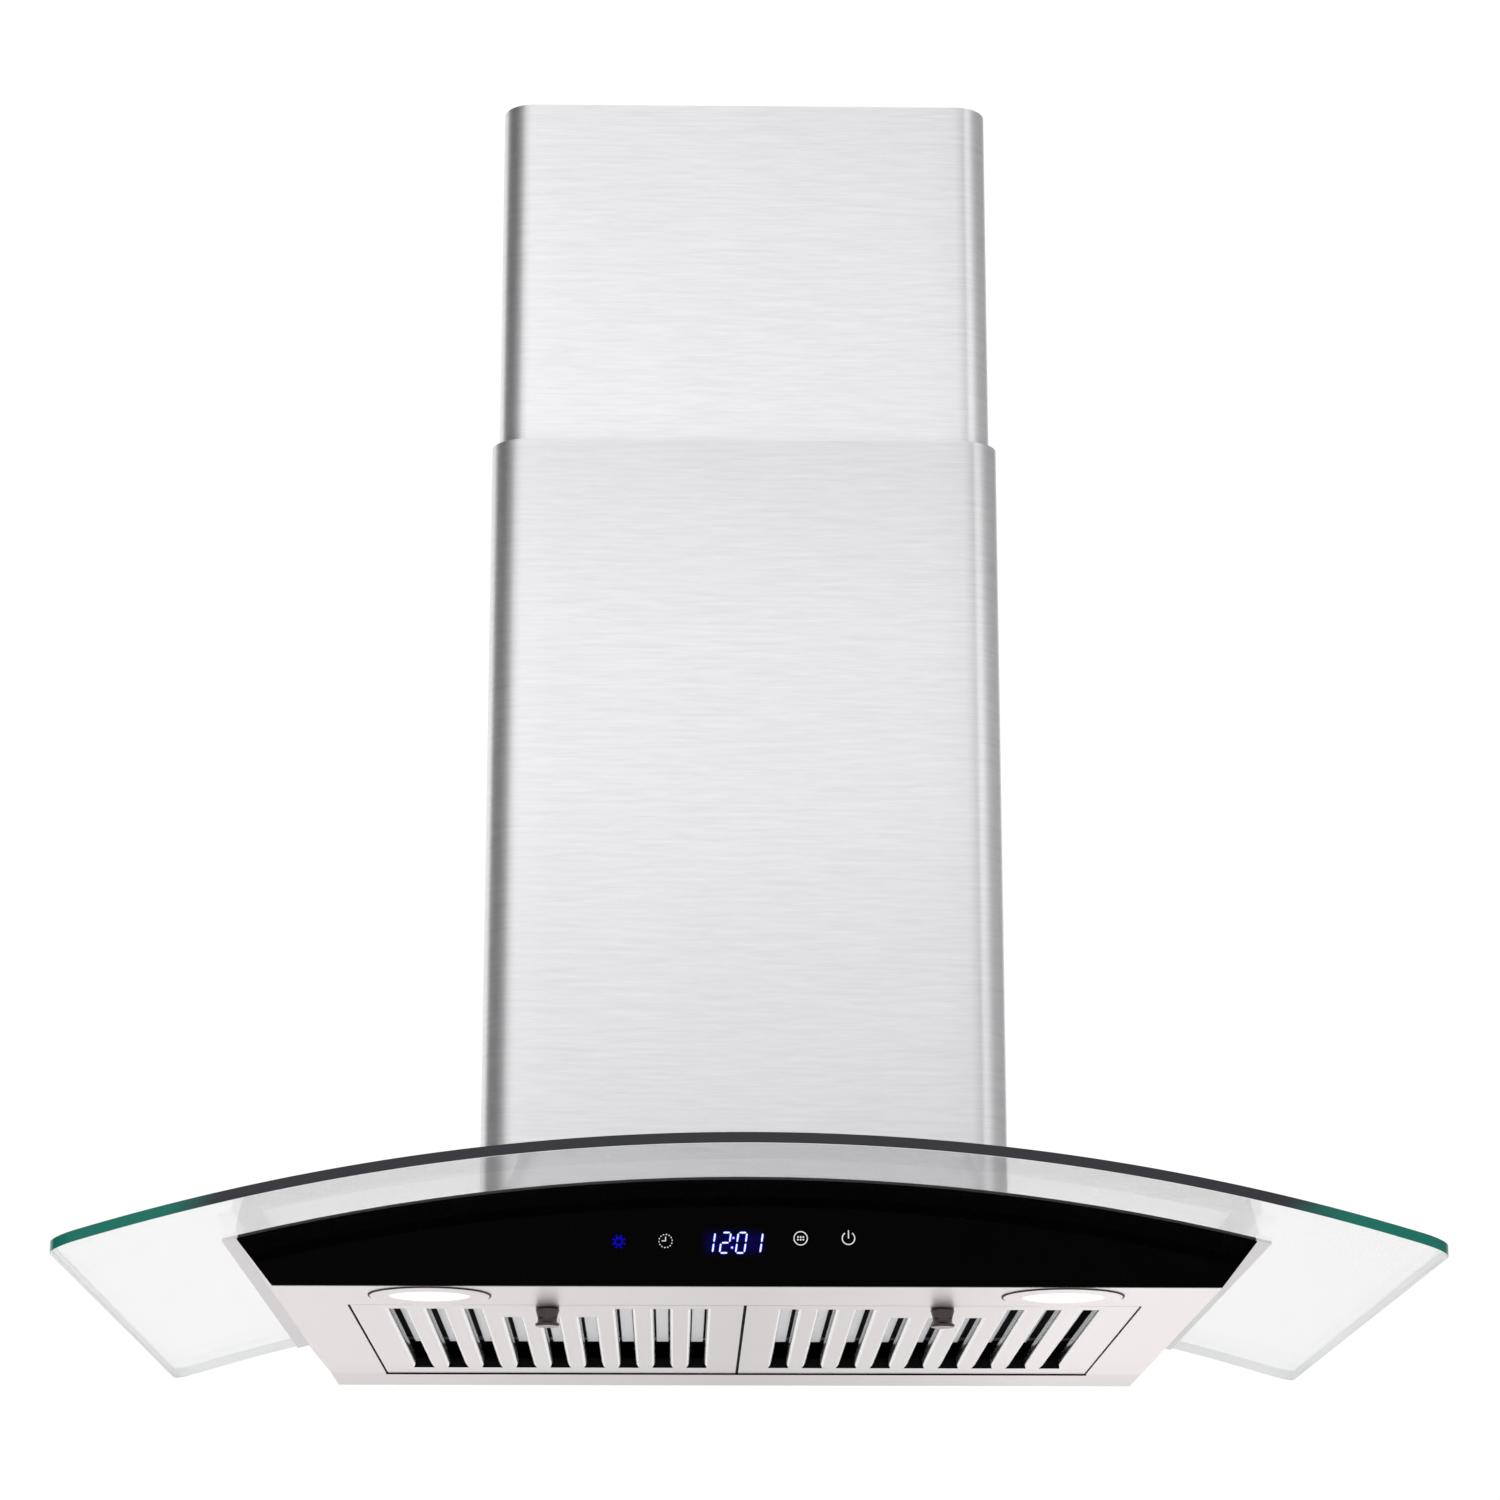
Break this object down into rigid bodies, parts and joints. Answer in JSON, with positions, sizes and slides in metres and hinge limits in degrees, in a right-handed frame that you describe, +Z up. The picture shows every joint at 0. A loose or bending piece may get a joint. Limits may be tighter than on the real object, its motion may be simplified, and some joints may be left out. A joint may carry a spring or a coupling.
{
  "type": "island range hood",
  "caption": "Ceiling-hung island range hood with an arched glass canopy, steel body, baffle filters, lamps, touch panel and telescopic chimney.",
  "frame": {"origin": "centre of the ceiling plate's top face, where the hood hangs from the ceiling", "axes": "+Z up towards the ceiling, +X to the right seen from the front, front with the touch panel at -Y"},
  "size_m": [0.75, 0.6, 0.773],
  "materials": {
    "chimney_steel": "horizontally brushed stainless steel",
    "body_steel": "brushed stainless steel, grain left to right",
    "galvanised_steel": "zinc-coated sheet",
    "canopy_glass": "clear tempered glass with a green edge",
    "black_glass": "black back-printed glass",
    "gasket_rubber": "matt black",
    "dark_nickel": "polished black nickel",
    "lamp_lens": "opal diffuser, lit",
    "display_light": "lit symbols",
    "cast_aluminium": "die cast",
    "turned_steel": "turned bright steel",
    "black_plastic": "moulded, fine grain",
    "white_plastic": "moulded, fine grain",
    "circuit_board": "solder mask"
  },
  "bodies": {
    "ceiling_frame": {"ceiling_plate": "galvanised_steel", "ceiling_tab_front": "galvanised_steel", "ceiling_tab_left": "galvanised_steel", "ceiling_tab_rear": "galvanised_steel", "ceiling_tab_right": "galvanised_steel", "upper_chimney_front": "chimney_steel", "upper_chimney_rear": "chimney_steel", "upper_strut_front_left": "galvanised_steel", "upper_strut_front_right": "galvanised_steel", "upper_strut_rear_left": "galvanised_steel", "upper_strut_rear_right": "galvanised_steel"},
    "hood": {"blower_box": "galvanised_steel", "blower_flange": "galvanised_steel", "blower_lid": "galvanised_steel", "cable_gland": "black_plastic", "control_board": "circuit_board", "control_box": "white_plastic", "damper_rod": "turned_steel", "display_module": "black_plastic", "front_panel": "black_glass", "glass_canopy": "canopy_glass", "glass_gasket": "gasket_rubber", "glass_rail_left": "body_steel", "glass_rail_right": "body_steel", "hood_roof": "body_steel", "hood_shell": "body_steel", "lamp_bezel_left": "body_steel", "lamp_bezel_right": "body_steel", "lamp_housing_left": "cast_aluminium", "lamp_housing_right": "cast_aluminium", "lamp_lens_left": "lamp_lens", "lamp_lens_right": "lamp_lens", "lower_strut_front_left": "galvanised_steel", "lower_strut_front_right": "galvanised_steel", "lower_strut_rear_left": "galvanised_steel", "lower_strut_rear_right": "galvanised_steel", "motor": "cast_aluminium", "motor_bracket": "galvanised_steel", "motor_capacitor": "white_plastic", "outlet_collar": "black_plastic", "scroll_housing": "galvanised_steel", "underside_plate": "body_steel"},
    "lower_cover": {"cover_guide_left": "white_plastic", "cover_guide_right": "white_plastic", "lower_chimney_front": "chimney_steel", "lower_chimney_rear": "chimney_steel"},
    "filter_left": {"filter_baffle_left": "body_steel", "filter_face_left": "body_steel", "filter_frame_left": "body_steel", "filter_knob_left": "dark_nickel"},
    "filter_right": {"filter_baffle_right": "body_steel", "filter_face_right": "body_steel", "filter_frame_right": "body_steel", "filter_knob_right": "dark_nickel"},
    "rotor": {"impeller": "black_plastic", "motor_shaft": "turned_steel"},
    "damper_front": {"damper_flap_front": "cast_aluminium"},
    "damper_rear": {"damper_flap_rear": "cast_aluminium"}
  },
  "joints": [
    {"name": "height_adjust", "type": "slide", "parent": "ceiling_frame", "child": "hood", "axis": [0, 0, 1], "range_m": [-0.2, 0.1]},
    {"name": "lower_cover_lift", "type": "slide", "parent": "hood", "child": "lower_cover", "axis": [0, 0, 1], "range_m": [0, 0.1]},
    {"name": "filter_left_drop", "type": "hinge", "parent": "hood", "child": "filter_left", "pos_m": [-0.1144, 0.1716, -0.7615], "axis": [1, 0, 0], "range_deg": [0, 75]},
    {"name": "filter_right_drop", "type": "hinge", "parent": "hood", "child": "filter_right", "pos_m": [0.1144, 0.1716, -0.7615], "axis": [1, 0, 0], "range_deg": [0, 75]},
    {"name": "rotor_spin", "type": "hinge", "parent": "hood", "child": "rotor", "pos_m": [0, -0.009, -0.598], "axis": [1, 0, 0], "continuous": true},
    {"name": "damper_front_flap", "type": "hinge", "parent": "hood", "child": "damper_front", "pos_m": [0, -0.004, -0.4767], "axis": [-1, 0, 0], "range_deg": [0, 75]},
    {"name": "damper_rear_flap", "type": "hinge", "parent": "hood", "child": "damper_rear", "pos_m": [0, 0.004, -0.4767], "axis": [1, 0, 0], "range_deg": [0, 75]}
  ]
}
